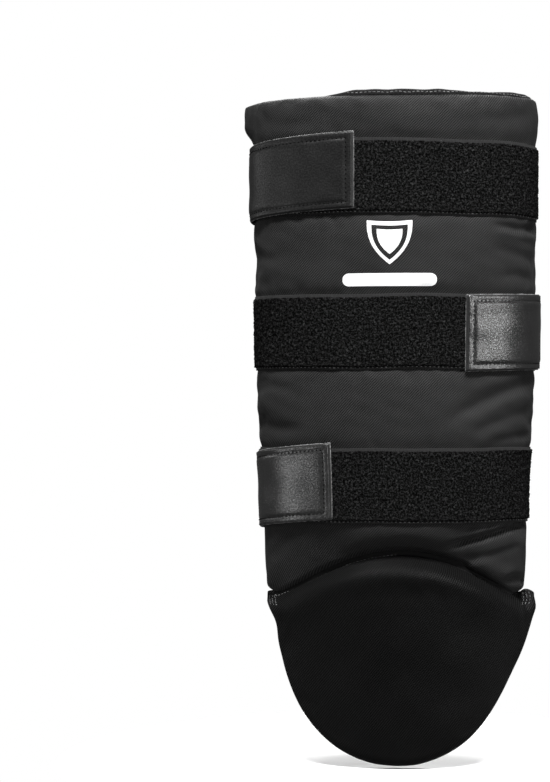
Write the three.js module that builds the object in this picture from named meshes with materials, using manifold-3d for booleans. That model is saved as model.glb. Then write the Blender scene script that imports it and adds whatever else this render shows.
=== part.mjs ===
// A shin and instep guard, upright as it is worn, in millimetres.
// +Z runs up the leg, the padded front faces -Y, and the origin is on the leg's axis at the ankle.
// A padded shell wraps the front and sides of the shin. Three straps close it behind the calf: each is an
// elastic sewn to one rear edge, with a stiff tab that sticks to a loop band across the front. A rounded
// padded flap hangs from the arched seam at the ankle and covers the instep, with an elastic for the foot.
import * as THREE from 'three';
import { mergeVertices } from 'three/addons/utils/BufferGeometryUtils.js';
import Module from 'manifold-3d';

const wasm = await Module();
wasm.setup();

const DEG = Math.PI / 180;
const GAP = 0.3; // clear space between neighbouring layers
const FABRIC = 1.0; // cover and lining thickness

// Shin pad
const PAD_TOP = 333;
const PAD_END_ANGLE = 118 * DEG; // half of the wrap, measured from the front
const COLUMN_ANGLE = 8 * DEG;
const LEAST_COLUMN = 0.2; // the narrowest end column, as a share of a whole one
const EDGE_TURN = 0.9 * DEG; // angle for each millimetre along the surface at the rear edges
const PAD_ROWS = 7;
const HALF_WIDTH_ANKLE = 86.5;
const HALF_WIDTH_GAIN = 9.2; // how much wider the pad gets towards the knee
const WIDTH_RISE = 100; // the height over which most of that gain happens
const HALF_DEPTH_ANKLE = 46;
const HALF_DEPTH_TOP = 52;
const PAD_EDGE_THICKNESS = 12;
const PAD_CROWN = 5; // extra thickness along the shin bone
const BINDING_THICKNESS = 1.4;
const FACING_HEIGHT = 5.2; // the top edge strip stands this far above the cover
const FACING_INSET = 2;

// Arched seam between the shin pad and the instep flap
const SEAM_HEIGHT = 30.4; // at the middle, over its two ends at z = 0
const SEAM_HALF_ANGLE = 82 * DEG;
const SEAM_CLEARANCE = 2; // from the seam line to each pad
const WEB_HALF_THICKNESS = 0.6;
const WEB_DROP = 0.3; // below the seam line
const WEB_END_ANGLE = 46 * DEG;
const WEB_NEAR_DEPTH = 4;
const WEB_FAR_DEPTH = 11;

// Loop bands across the front
const BAND_HEIGHT = 50;
const BAND_PITCH = 102;
const BAND_LOWEST = 74;
const BAND_INNER = GAP;
const BAND_OUTER = 1.3;
const BAND_END_ANGLE = 114 * DEG;

// Straps: layers stated as distances out of the cover's surface
const TAB_HEIGHT = 50.5;
const HOOK_INNER = 1.6;
const HOOK_OUTER = 2.4;
const BACKING_INNER = 2.7;
const BACKING_OUTER = 3.3;
const FACE_INNER = 3.6;
const FACE_OUTER = 4.3;
const STRAP_MIDDLE = 3.5;
const STRAP_THICKNESS = 1.4;
const STRAP_SEWN_DEPTH = 6; // the sewn end lies this far inside the cover's surface
const STRAP_HEIGHT = 48;
const STRAP_START_ANGLE = 122 * DEG;
const STRAP_FULL_ANGLE = 190 * DEG; // from here the elastic lies at its full distance
const STRAP_END_ANGLE = 238 * DEG;
const TAB_START_ANGLE = 118.2 * DEG;
const TAB_SETBACK = 1.2; // the face layer ends this far short of the backing, all round the free end
const HOOK_MARGIN = 5;

// The free end is an angle from the front; the rise is how far the tab climbs towards it.
const STRAPS = [
  { name: 'top', side: -1, rear: 275.5, rise: 7.1, free: 16.2 * DEG },
  { name: 'middle', side: 1, rear: 178, rise: -3, free: 29 * DEG },
  { name: 'bottom', side: -1, rear: 67, rise: 10.2, free: 27.4 * DEG },
];
const HOOK_START_ANGLE = 84 * DEG;

// Instep flap
const FLAP_HALF_WIDTH = 91.5;
const FLAP_CORNER = -5; // height of its widest place
const FLAP_TIP = -111;
const FLAP_WAIST = 0.35; // how far its sides draw in below the corners
const FLAP_THICKNESS = 12;
const FLAP_FRONT_TOP = 48; // how far forward its face is at the seam
const FLAP_FRONT_TIP = 41;
const FLAP_CURVE_TOP = 0.0052; // cross-section, y = curve * x * x, in 1/mm
const FLAP_CURVE_TIP = 0.003;
const FLAP_COLUMNS = 16;
const FLAP_ROWS = 10;
const FLAP_LAST_ROW = 80 * DEG; // rows close up towards the tip as a sine does
const FLAP_TIP_ROUND = 1.6;

// Foot strap
const FOOT_HALF_WIDTH = 70;
const FOOT_DEPTH = 52;
const FOOT_FRONT = -2;
const FOOT_MIDDLE = -44;
const FOOT_HEIGHT = 24;
const FOOT_THICKNESS = 1.4;
const FOOT_COLUMNS = 20;

const lerp = THREE.MathUtils.lerp;
const smooth = THREE.MathUtils.smoothstep;

// A closed body bent out of a box: map takes each corner's place in a unit cube to its real place.
function bentBox(across, up, map) {
  const box = new THREE.BoxGeometry(1, 1, 1, across, up, 1);
  box.deleteAttribute('normal');
  box.deleteAttribute('uv');
  const closed = mergeVertices(box);
  const position = closed.attributes.position;
  for (let i = 0; i < position.count; i += 1) {
    const u = position.getX(i) + 0.5;
    const v = position.getY(i) + 0.5;
    const w = position.getZ(i) + 0.5;
    const point = map(u, v, w);
    position.setXYZ(i, point.x, point.y, point.z);
  }
  return closed;
}

function toSolid(geometry) {
  const vertProperties = new Float32Array(geometry.attributes.position.array);
  const triVerts = new Uint32Array(geometry.index.array);
  return new wasm.Manifold(new wasm.Mesh({ numProp: 3, vertProperties, triVerts }));
}

function toGeometry(solid) {
  const { vertProperties, triVerts } = solid.getMesh();
  const geometry = new THREE.BufferGeometry();
  geometry.setAttribute('position', new THREE.BufferAttribute(vertProperties, 3));
  geometry.setIndex(new THREE.BufferAttribute(triVerts, 1));
  return geometry;
}

// The pad's outer surface is an ellipse at each height; out moves a point along its normal.
function halfWidth(z) {
  return HALF_WIDTH_ANKLE + HALF_WIDTH_GAIN * (1 - Math.exp(-Math.max(z + 5, 0) / WIDTH_RISE));
}

function halfDepth(z) {
  return lerp(HALF_DEPTH_ANKLE, HALF_DEPTH_TOP, Math.max(z, 0) / PAD_TOP);
}

function aroundLeg(angle, z, out) {
  const a = halfWidth(z);
  const b = halfDepth(z);
  const normal = new THREE.Vector2(b * Math.sin(angle), -a * Math.cos(angle)).normalize();
  return new THREE.Vector3(a * Math.sin(angle) + out * normal.x, -b * Math.cos(angle) + out * normal.y, z);
}

// Every layer shares the same inner columns, so their flat facets stay parallel.
function columnsBetween(start, end) {
  const inner = [];
  const first = Math.ceil(start / COLUMN_ANGLE + LEAST_COLUMN);
  const last = Math.floor(end / COLUMN_ANGLE - LEAST_COLUMN);
  for (let i = first; i <= last; i += 1) {
    inner.push(i * COLUMN_ANGLE);
  }
  return [start, ...inner, end];
}

function padThickness(angle) {
  return PAD_EDGE_THICKNESS + PAD_CROWN * Math.max(Math.cos(angle), 0) ** 2;
}

function seamLine(angle) {
  const share = Math.min(Math.abs(angle) / SEAM_HALF_ANGLE, 1);
  return SEAM_HEIGHT * (0.5 + 0.5 * Math.cos(Math.PI * share));
}

// The same line over a place across the front, which both pads follow.
function seamOver(x) {
  return seamLine(Math.asin(THREE.MathUtils.clamp(x / halfWidth(SEAM_HEIGHT / 2), -1, 1)));
}

// A layer of the shin pad. inset draws its four edges in, and inner and outer are depths into the pad.
function padLayer(inset, outerDepth, innerDepth) {
  const edge = PAD_END_ANGLE - inset * EDGE_TURN;
  const columns = columnsBetween(-edge, edge);
  return bentBox(columns.length - 1, PAD_ROWS, (u, v, w) => {
    const angle = columns[Math.round(u * (columns.length - 1))];
    const bottom = seamLine(angle) + SEAM_CLEARANCE + inset;
    const z = lerp(bottom, PAD_TOP - inset, v);
    return aroundLeg(angle, z, -lerp(innerDepth(angle), outerDepth, w));
  });
}

function shinCover() {
  const whole = toSolid(padLayer(0, 0, padThickness));
  const inside = toSolid(padLayer(FABRIC, FABRIC, (angle) => padThickness(angle) + FABRIC));
  return toGeometry(whole.subtract(inside));
}

function shinFoam() {
  return padLayer(FABRIC + GAP, FABRIC + GAP, (angle) => padThickness(angle) - FABRIC - GAP);
}

function shinLining() {
  const edge = PAD_END_ANGLE - (FABRIC + GAP) * EDGE_TURN;
  const columns = columnsBetween(-edge, edge);
  return bentBox(columns.length - 1, PAD_ROWS, (u, v, w) => {
    const angle = columns[Math.round(u * (columns.length - 1))];
    const bottom = seamLine(angle) + SEAM_CLEARANCE + FABRIC + GAP;
    const z = lerp(bottom, PAD_TOP - FABRIC - GAP, v);
    return aroundLeg(angle, z, -padThickness(angle) + FABRIC * w);
  });
}

// The strip that closes the top edge, flat on top.
function topFacing() {
  const edge = PAD_END_ANGLE - DEG;
  const columns = columnsBetween(-edge, edge);
  return bentBox(columns.length - 1, 1, (u, v, w) => {
    const angle = columns[Math.round(u * (columns.length - 1))];
    const z = PAD_TOP + GAP + FACING_HEIGHT * v;
    const depth = lerp(padThickness(angle), FACING_INSET, w);
    return aroundLeg(angle, z, -depth);
  });
}

// The tape along one rear edge of the pad.
function edgeBinding(side) {
  const near = PAD_END_ANGLE + GAP * EDGE_TURN;
  const far = near + BINDING_THICKNESS * EDGE_TURN;
  return bentBox(1, PAD_ROWS, (u, v, w) => {
    const angle = side > 0 ? lerp(near, far, u) : lerp(-far, -near, u);
    const z = lerp(SEAM_CLEARANCE, PAD_TOP, v);
    return aroundLeg(angle, z, -lerp(padThickness(angle), 0, w));
  });
}

function loopBand(middle) {
  const columns = columnsBetween(-BAND_END_ANGLE, BAND_END_ANGLE);
  return bentBox(columns.length - 1, 2, (u, v, w) => {
    const angle = columns[Math.round(u * (columns.length - 1))];
    return aroundLeg(angle, middle + BAND_HEIGHT * (v - 0.5), lerp(BAND_INNER, BAND_OUTER, w));
  });
}

// The elastic behind the calf, from its sewn end at one rear edge to the tab's hinge at the other.
function elasticStrap({ side, rear }) {
  const columns = columnsBetween(STRAP_START_ANGLE, STRAP_END_ANGLE);
  return bentBox(columns.length - 1, 1, (u, v, w) => {
    const index = Math.round(u * (columns.length - 1));
    const angle = side < 0 ? columns[index] : -columns[columns.length - 1 - index];
    const share = smooth(Math.abs(angle), STRAP_START_ANGLE, STRAP_FULL_ANGLE);
    const out = lerp(-STRAP_SEWN_DEPTH, STRAP_MIDDLE, share) + STRAP_THICKNESS * (w - 0.5);
    return aroundLeg(angle, rear + STRAP_HEIGHT * (v - 0.5), out);
  });
}

// One layer of a tab, from the angle start round to the free end, less setback.
function tabLayer({ side, rear, rise, free }, start, setback, height, inner, outer) {
  const end = free + (setback / halfWidth(rear)) / Math.cos(free);
  const columns = columnsBetween(end, start);
  const last = columns.length - 1;
  return bentBox(last, 2, (u, v, w) => {
    const index = Math.round(u * last);
    const angle = side > 0 ? columns[index] : -columns[last - index];
    const along = (TAB_START_ANGLE - Math.abs(angle)) / (TAB_START_ANGLE - free);
    return aroundLeg(angle, rear + rise * along + height * (v - 0.5), lerp(inner, outer, w));
  });
}

// A layer of the instep flap. depth is measured in from its face.
function flapHalfWidth(z) {
  const t = THREE.MathUtils.clamp((FLAP_CORNER - z) / (FLAP_CORNER - FLAP_TIP), 0, 1);
  return FLAP_HALF_WIDTH * Math.sqrt(1 - t * t) * (1 - FLAP_WAIST * t * (1 - t) ** 1.2);
}

function flapPoint(x, z, depth) {
  const down = THREE.MathUtils.clamp((SEAM_HEIGHT - z) / (SEAM_HEIGHT - FLAP_TIP), 0, 1);
  const curve = lerp(FLAP_CURVE_TOP, FLAP_CURVE_TIP, down);
  const inward = new THREE.Vector2(-2 * curve * x, 1).normalize();
  const y = -lerp(FLAP_FRONT_TOP, FLAP_FRONT_TIP, down) + curve * x * x;
  return new THREE.Vector3(x + depth * inward.x, y + depth * inward.y, z);
}

function flapLayer(inset, front, back) {
  return bentBox(FLAP_COLUMNS, FLAP_ROWS, (u, v, w) => {
    const down = Math.sin(FLAP_LAST_ROW * (1 - v));
    const side = 2 * u - 1;
    const level = lerp(-SEAM_CLEARANCE, FLAP_TIP, down);
    const x = side * (flapHalfWidth(level) - inset);
    const arch = seamOver(side * FLAP_HALF_WIDTH) * (1 - down) ** 2;
    const round = FLAP_TIP_ROUND * (1 - side * side) * down ** 8;
    const z = level + arch - round - inset * (1 - 2 * down);
    return flapPoint(x, z, lerp(back, front, w));
  });
}

function flapCover() {
  const whole = toSolid(flapLayer(0, 0, FLAP_THICKNESS));
  const inside = toSolid(flapLayer(FABRIC, FABRIC, FLAP_THICKNESS + FABRIC));
  return toGeometry(whole.subtract(inside));
}

// The strip of cloth in the seam, which the flap folds on.
function seamWeb() {
  const columns = columnsBetween(-WEB_END_ANGLE, WEB_END_ANGLE);
  return bentBox(columns.length - 1, 1, (u, v, w) => {
    const angle = columns[Math.round(u * (columns.length - 1))];
    const z = seamLine(angle) - WEB_DROP + WEB_HALF_THICKNESS * (2 * v - 1);
    return aroundLeg(angle, z, -lerp(WEB_FAR_DEPTH, WEB_NEAR_DEPTH, w));
  });
}

function footStrap() {
  return bentBox(FOOT_COLUMNS, 1, (u, v, w) => {
    const angle = lerp(90, 270, u) * DEG;
    const out = FOOT_THICKNESS * (w - 0.5);
    const x = (FOOT_HALF_WIDTH + out) * Math.sin(angle);
    const y = FOOT_FRONT - (FOOT_DEPTH + out) * Math.cos(angle);
    return new THREE.Vector3(x, y, FOOT_MIDDLE + FOOT_HEIGHT * (v - 0.5));
  });
}

const finishes = {
  twill: { color: 0x1d1d1e, roughness: 0.85, metalness: 0 },
  flapTwill: { color: 0x131314, roughness: 0.9, metalness: 0 },
  lining: { color: 0x161617, roughness: 0.95, metalness: 0 },
  foam: { color: 0x3a3a3c, roughness: 0.95, metalness: 0 },
  tape: { color: 0x111112, roughness: 0.8, metalness: 0 },
  pile: { color: 0x0f0f10, roughness: 1, metalness: 0 },
  hook: { color: 0x151516, roughness: 0.7, metalness: 0 },
  leather: { color: 0x262627, roughness: 0.45, metalness: 0 },
  elastic: { color: 0x161618, roughness: 0.8, metalness: 0 },
};

const guard = new THREE.Group();

function addPiece(name, geometry, finish) {
  geometry.computeVertexNormals();
  const mesh = new THREE.Mesh(geometry, new THREE.MeshStandardMaterial(finishes[finish]));
  mesh.name = name;
  guard.add(mesh);
}

addPiece('shin_cover', shinCover(), 'twill');
addPiece('shin_foam', shinFoam(), 'foam');
addPiece('shin_lining', shinLining(), 'lining');
addPiece('top_facing', topFacing(), 'tape');
addPiece('edge_binding_left', edgeBinding(-1), 'tape');
addPiece('edge_binding_right', edgeBinding(1), 'tape');

STRAPS.forEach((strap, index) => {
  const band = BAND_LOWEST + BAND_PITCH * (STRAPS.length - 1 - index);
  const hookHeight = TAB_HEIGHT - 2 * HOOK_MARGIN;
  const faceHeight = TAB_HEIGHT - TAB_SETBACK;
  addPiece(`${strap.name}_loop_band`, loopBand(band), 'pile');
  addPiece(`${strap.name}_elastic`, elasticStrap(strap), 'elastic');
  addPiece(
    `${strap.name}_tab_face`,
    tabLayer(strap, TAB_START_ANGLE, TAB_SETBACK, faceHeight, FACE_INNER, FACE_OUTER),
    'leather',
  );
  addPiece(
    `${strap.name}_tab_backing`,
    tabLayer(strap, TAB_START_ANGLE, 0, TAB_HEIGHT, BACKING_INNER, BACKING_OUTER),
    'leather',
  );
  addPiece(
    `${strap.name}_hook_patch`,
    tabLayer(strap, HOOK_START_ANGLE, HOOK_MARGIN, hookHeight, HOOK_INNER, HOOK_OUTER),
    'hook',
  );
});

addPiece('instep_cover', flapCover(), 'flapTwill');
addPiece('instep_foam', flapLayer(FABRIC + GAP, FABRIC + GAP, FLAP_THICKNESS - FABRIC - GAP), 'foam');
addPiece('instep_lining', flapLayer(FABRIC + GAP, FLAP_THICKNESS - FABRIC, FLAP_THICKNESS), 'lining');
addPiece('seam_web', seamWeb(), 'tape');
addPiece('foot_strap', footStrap(), 'elastic');

export default guard;
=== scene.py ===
"""The looks of a strapped shin and instep guard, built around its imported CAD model.

Metres. +Z runs up the leg, the padded front faces -Y, and the origin is on the leg's axis at the ankle.
"""

import math
from collections import namedtuple

import bpy
import numpy as np
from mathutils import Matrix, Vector
from mathutils.bvhtree import BVHTree


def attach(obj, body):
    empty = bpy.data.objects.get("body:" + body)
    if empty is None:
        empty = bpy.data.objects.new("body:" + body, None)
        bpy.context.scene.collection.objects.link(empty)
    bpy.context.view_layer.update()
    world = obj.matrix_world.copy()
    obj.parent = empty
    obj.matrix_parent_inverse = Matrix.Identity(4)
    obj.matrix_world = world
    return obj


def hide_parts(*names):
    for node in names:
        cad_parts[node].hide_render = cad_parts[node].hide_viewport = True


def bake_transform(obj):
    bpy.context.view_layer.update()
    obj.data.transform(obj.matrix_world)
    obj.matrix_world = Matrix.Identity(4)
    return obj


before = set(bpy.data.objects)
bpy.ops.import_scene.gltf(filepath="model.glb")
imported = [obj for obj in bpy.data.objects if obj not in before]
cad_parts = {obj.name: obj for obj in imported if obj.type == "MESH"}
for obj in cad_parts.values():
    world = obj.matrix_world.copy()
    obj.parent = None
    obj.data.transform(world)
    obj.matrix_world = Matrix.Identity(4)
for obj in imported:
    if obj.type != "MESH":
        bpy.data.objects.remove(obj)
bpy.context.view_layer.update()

DEG = math.pi / 180
MM = 0.001

# The pad and its seam, as in the CAD model
PAD_TOP = 333 * MM
PAD_END = 118 * DEG  # half of the wrap, measured from the front
PAD_EDGE_THICKNESS = 12 * MM
PAD_CROWN = 5 * MM
SEAM_HEIGHT = 30.4 * MM
SEAM_HALF_ANGLE = 82 * DEG
SEAM_LEAN = 2.4 * DEG  # the arch sits a little to one side
BANDS = {"bottom": 74 * MM, "middle": 176 * MM, "top": 278 * MM}  # middle heights
BAND_HALF = 25 * MM
BAND_END = 114 * DEG

# Side of the tab, height behind the calf, climb to the free end, angle of the free end, and the leather's
# grey and gloss
Strap = namedtuple("Strap", "name side rear rise free grey gloss seed")
STRAPS = (
    Strap("top", -1, 275.5 * MM, 7.1 * MM, 16.2 * DEG, 0.005, 0.35, 11),
    Strap("middle", 1, 178 * MM, -3 * MM, 29 * DEG, 0.014, 1.25, 12),
    Strap("bottom", -1, 67 * MM, 10.2 * MM, 27.4 * DEG, 0.016, 1.2, 13),
)
TAB_HALF = 25.25 * MM
TAB_START = 118.2 * DEG
STITCH_INSET = 3.6 * MM
FACE_SETBACK = 1.4 * MM
FACE_HALF = TAB_HALF - 0.6 * MM
ELASTIC_RIB = 2 * MM

# Instep flap
FLAP_HALF_WIDTH = 91.5 * MM
FLAP_CORNER = -5 * MM
FLAP_TIP = -111 * MM
FLAP_THICKNESS = 12 * MM
FLAP_SPREAD = 1.042  # the pad's edge is rounded, so its widest line lies behind its front
FOOT_MIDDLE = -44 * MM

# The pad's outer ellipse
SEAM_HALF_WIDTH = 86.5 * MM
WIDTH_GROWTH = 9.2 * MM
WIDTH_REACH = 100 * MM
SEAM_HALF_DEPTH = 46 * MM
DEPTH_GROWTH = 6 * MM
STRAP_SQUEEZE = 0.028  # the share that the bottom strap draws it in by
STRAP_REACH = 38 * MM
MEAN_HALF_WIDTH = 93 * MM
MEAN_HALF_DEPTH = 49 * MM


# ---- shape of the leg side


def ridge(distance, width):
    """1 on a line, falling away smoothly on both sides."""
    return np.exp(-((distance / width) ** 2))


def half_width(z):
    """Half the pad's width, drawn in a little by the bottom strap."""
    drawn = 1 - STRAP_SQUEEZE * ridge(z - BANDS["bottom"], STRAP_REACH)
    return drawn * (SEAM_HALF_WIDTH + WIDTH_GROWTH * (1 - np.exp(-np.maximum(z + 5 * MM, 0) / WIDTH_REACH)))


def half_depth(z):
    return SEAM_HALF_DEPTH + DEPTH_GROWTH * np.maximum(z, 0) / PAD_TOP


def around_leg(angle, z, out):
    """Points on the pad's outer ellipse at each height, moved out along its normal."""
    a = half_width(z)
    b = half_depth(z)
    nx = b * np.sin(angle)
    ny = -a * np.cos(angle)
    length = np.hypot(nx, ny)
    x = a * np.sin(angle) + out * nx / length
    y = -b * np.cos(angle) + out * ny / length
    return np.stack(np.broadcast_arrays(x, y, z + 0 * x), axis=-1)


def outward(angle, z):
    return around_leg(angle, z, 1.0) - around_leg(angle, z, 0.0)


def leg_line(angle, z, out):
    """A line of places near the pad's outer face, and the way outwards at each."""
    return around_leg(angle, z, out), outward(angle, z)


def pad_thickness(angle):
    return PAD_EDGE_THICKNESS + PAD_CROWN * np.maximum(np.cos(angle), 0) ** 2


def seam_line(angle):
    share = np.minimum(np.abs(angle - SEAM_LEAN) / SEAM_HALF_ANGLE, 1)
    return SEAM_HEIGHT * (0.5 + 0.5 * np.cos(np.pi * share))


def seam_over(x):
    return seam_line(np.arcsin(np.clip(x / half_width(SEAM_HEIGHT / 2), -1, 1)))


def smooth(x, low, high):
    t = np.clip((x - low) / (high - low), 0, 1)
    return t * t * (3 - 2 * t)


# Arc length round the pad from its front, at its middle height
_ANGLES = np.linspace(-np.pi * 1.5, np.pi * 1.5, 3001)
_SPEEDS = np.hypot(MEAN_HALF_WIDTH * np.cos(_ANGLES), MEAN_HALF_DEPTH * np.sin(_ANGLES))
_ARCS = np.cumsum(_SPEEDS * (_ANGLES[1] - _ANGLES[0]))
_ARCS -= np.interp(0, _ANGLES, _ARCS)


def arc_of(angle):
    return np.interp(angle, _ANGLES, _ARCS)


def angle_at(arc):
    return np.interp(arc, _ARCS, _ANGLES)


def even_angles(start, end, step):
    """Angles from start to end whose arc lengths are spaced evenly, about step apart."""
    low, high = arc_of(start), arc_of(end)
    count = max(int(round(abs(high - low) / step)), 2) + 1
    return angle_at(np.linspace(low, high, count))


def stack(*fields):
    return np.stack(fields, axis=-1)


def grid(along, across):
    """Two arrays: the first values repeated down the rows, and the second ones repeated along them."""
    return along[None] + 0 * across[:, None], across[:, None] + 0 * along[None]


def ripple(length, seed, *fields, count=7):
    """Smooth random waves of about that length, from -1 to 1, over the places that the fields give."""
    rng = np.random.default_rng(seed)
    points = np.stack([field.ravel() for field in fields], -1)
    total = np.zeros(len(points))
    for _ in range(count):
        direction = rng.normal(size=len(fields))
        direction /= np.linalg.norm(direction)
        turns = points @ direction / (length * rng.uniform(0.7, 1.5))
        total += np.sin(2 * np.pi * turns + rng.uniform(0, 2 * np.pi))
    return (total / math.sqrt(count)).reshape(fields[0].shape)


def rounded(distance, radius):
    """The share of full thickness at a distance in from an edge of that radius."""
    return np.sqrt(1 - (1 - np.clip(distance / radius, 0, 1)) ** 2)


# ---- meshes


def quads(index, flip=False):
    corners = [index[:-1, :-1], index[:-1, 1:], index[1:, 1:], index[1:, :-1]]
    faces = np.stack(corners, axis=-1).reshape(-1, 4)
    return faces[:, ::-1] if flip else faces


def edge_loop(index):
    """The border of a grid, anticlockwise."""
    return np.concatenate([index[0, :-1], index[:-1, -1], index[-1, :0:-1], index[:0:-1, 0]])


def numbered(places):
    """The number of each place in a grid, row by row."""
    rows, cols = places.shape[:2]
    return np.arange(rows * cols).reshape(rows, cols)


def build(name, points, faces, materials=(), uv=None, zones=None):
    mesh = bpy.data.meshes.new(name)
    mesh.from_pydata(points.tolist(), [], faces if isinstance(faces, list) else faces.tolist())
    if uv is not None:
        layer = mesh.uv_layers.new(name="weave")
        corner = np.zeros(len(mesh.loops), np.int32)
        mesh.loops.foreach_get("vertex_index", corner)
        layer.data.foreach_set("uv", uv[corner].astype(np.float32).ravel())
    for material in materials:
        mesh.materials.append(material)
    if zones is not None:
        mesh.polygons.foreach_set("material_index", zones.astype(np.int32))
    mesh.polygons.foreach_set("use_smooth", np.ones(len(mesh.polygons), bool))
    mesh.update()
    piece = bpy.data.objects.new(name, mesh)
    bpy.context.scene.collection.objects.link(piece)
    return piece


def pad_of(name, outer, inner, uv, material):
    """A closed pad whose two faces meet along one border."""
    front = numbered(outer)
    back = front.copy()
    inside = np.zeros(front.shape, bool)
    inside[1:-1, 1:-1] = True
    back[inside] = front.size + np.arange(inside.sum())
    points = np.concatenate([outer.reshape(-1, 3), inner[inside]])
    both = np.concatenate([uv.reshape(-1, 2), uv[inside]])
    faces = np.concatenate([quads(front), quads(back, flip=True)])
    return build(name, points, faces, [material], both)


def slab_of(name, outer, inner, uv, materials, zones=0, rim_zone=0):
    """A closed thin layer with its own rim. zones gives the material of each face of the outer side."""
    front = numbered(outer)
    start = edge_loop(front)
    end = np.roll(start, -1)
    rim = stack(start, start + front.size, end + front.size, end)
    points = np.concatenate([outer.reshape(-1, 3), inner.reshape(-1, 3)])
    both = np.concatenate([uv.reshape(-1, 2), uv.reshape(-1, 2)])
    faces = np.concatenate([quads(front), quads(front + front.size, flip=True), rim])
    marks = np.zeros(len(faces), int)
    marks[: len(quads(front))] = zones
    marks[-len(rim) :] = rim_zone
    return build(name, points, faces, materials, both, marks)


def coordinates(piece):
    co = np.zeros(len(piece.data.vertices) * 3)
    piece.data.vertices.foreach_get("co", co)
    return co.reshape(-1, 3)


def set_coordinates(piece, co):
    piece.data.vertices.foreach_set("co", co.astype(np.float32).ravel())
    piece.data.update()


def normals(piece):
    values = np.zeros(len(piece.data.vertices) * 3)
    piece.data.vertices.foreach_get("normal", values)
    return values.reshape(-1, 3)


def subdivide(piece):
    """Adds one smooth subdivision and applies it."""
    modifier = piece.modifiers.new("smooth", "SUBSURF")
    modifier.levels = 1
    modifier.boundary_smooth = "PRESERVE_CORNERS"
    bpy.context.view_layer.update()
    graph = bpy.context.evaluated_depsgraph_get()
    smoothed = bpy.data.meshes.new_from_object(
        piece.evaluated_get(graph), preserve_all_data_layers=True, depsgraph=graph
    )
    piece.modifiers.clear()
    piece.data = smoothed


CLOTH = {
    "vertex_group_mass": "pinned",
    "quality": 6,
    "mass": 0.15,
    "tension_stiffness": 12,
    "compression_stiffness": 12,
    "shear_stiffness": 4,
    "bending_stiffness": 0.15,
    "use_pressure": True,
}
CLOTH_FRAMES = 20


def inflate(places, pinned, pressure, growth, most):
    """Cloth simulation of a grid with pinned places. Returns it after it swells, moved by most at most."""
    points = places.reshape(-1, 3)
    sheet = build("swelling_sheet", points, quads(numbered(places)))
    group = sheet.vertex_groups.new(name="pinned")
    group.add(np.flatnonzero(pinned).tolist(), 1.0, "REPLACE")
    cloth = sheet.modifiers.new("cloth", "CLOTH")
    for key, value in CLOTH.items():
        setattr(cloth.settings, key, value)
    cloth.settings.uniform_pressure_force = pressure
    cloth.settings.shrink_min = -growth
    cloth.settings.shrink_max = -growth
    cloth.settings.effector_weights.gravity = 0
    cloth.collision_settings.use_collision = False
    for step in range(CLOTH_FRAMES):
        bpy.context.scene.frame_set(step + 1)
    swollen = coordinates(sheet.evaluated_get(bpy.context.evaluated_depsgraph_get()))
    bpy.data.objects.remove(sheet)
    bpy.context.scene.frame_set(1)
    move = swollen - points
    length = np.linalg.norm(move, axis=1, keepdims=True) + 1e-12
    return (points + move / length * most * np.tanh(length / most)).reshape(places.shape)


def ribbon_frames(path, up):
    """Tangent, side and up vectors along a path of points."""
    along = np.gradient(path, axis=0)
    along /= np.linalg.norm(along, axis=1, keepdims=True) + 1e-12
    across = np.cross(along, up)
    across /= np.linalg.norm(across, axis=1, keepdims=True) + 1e-12
    return along, across, np.cross(across, along)


def running_length(path):
    return np.concatenate([[0], np.cumsum(np.linalg.norm(np.diff(path, axis=0), axis=1))])


def interpolate(at, length, values):
    return stack(*(np.interp(at, length, column) for column in values.T))


def resample(path, up, step):
    """Points and up vectors spaced evenly along a path."""
    length = running_length(path)
    at = np.arange(step / 2, length[-1], step)
    ups = interpolate(at, length, up)
    return interpolate(at, length, path), ups / np.linalg.norm(ups, axis=1, keepdims=True)


TUBE_SIDES = 5
TUBE_TURN = 2 * np.pi * np.arange(TUBE_SIDES) / TUBE_SIDES
STITCH_RINGS = (  # place along the thread, share of its radius, and how far it is raised
    (-0.5, 0.35, -0.5),
    (-0.32, 0.95, 0.1),
    (0.0, 1.0, 0.35),
    (0.32, 0.95, 0.1),
    (0.5, 0.35, -0.5),
)


def tube_faces(base, rings):
    """The faces of a closed tube whose rings of points start at number base."""
    faces = []
    for ring in range(rings - 1):
        for k in range(TUBE_SIDES):
            a = base + ring * TUBE_SIDES + k
            b = base + ring * TUBE_SIDES + (k + 1) % TUBE_SIDES
            faces.append([a, b, b + TUBE_SIDES, a + TUBE_SIDES])
    last = base + (rings - 1) * TUBE_SIDES
    faces.append([base + k for k in reversed(range(TUBE_SIDES))])
    faces.append([last + k for k in range(TUBE_SIDES)])
    return faces


def stitches(name, rows, look, length=2.1 * MM, gap=0.8 * MM, radius=0.26 * MM, seed=1):
    """One mesh of short raised threads along each (path, up) in rows."""
    rng = np.random.default_rng(seed)
    points, faces = [], []
    for path, up in rows:
        spots, ups = resample(path, up, length + gap)
        along, across, over = ribbon_frames(spots, ups)
        for i in range(len(spots)):
            tilt = rng.normal(0, 0.09)
            heading = along[i] * math.cos(tilt) + across[i] * math.sin(tilt)
            size = length * rng.uniform(0.85, 1.05)
            spread = np.outer(np.cos(TUBE_TURN), across[i]) + np.outer(np.sin(TUBE_TURN), over[i])
            faces += tube_faces(len(points) * TUBE_SIDES, len(STITCH_RINGS))
            for t, share, lift in STITCH_RINGS:
                centre = spots[i] + heading * size * t + over[i] * radius * lift
                points.append(centre + spread * radius * share)
    return build(name, np.concatenate(points), faces, [LOOKS[look]])


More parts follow.
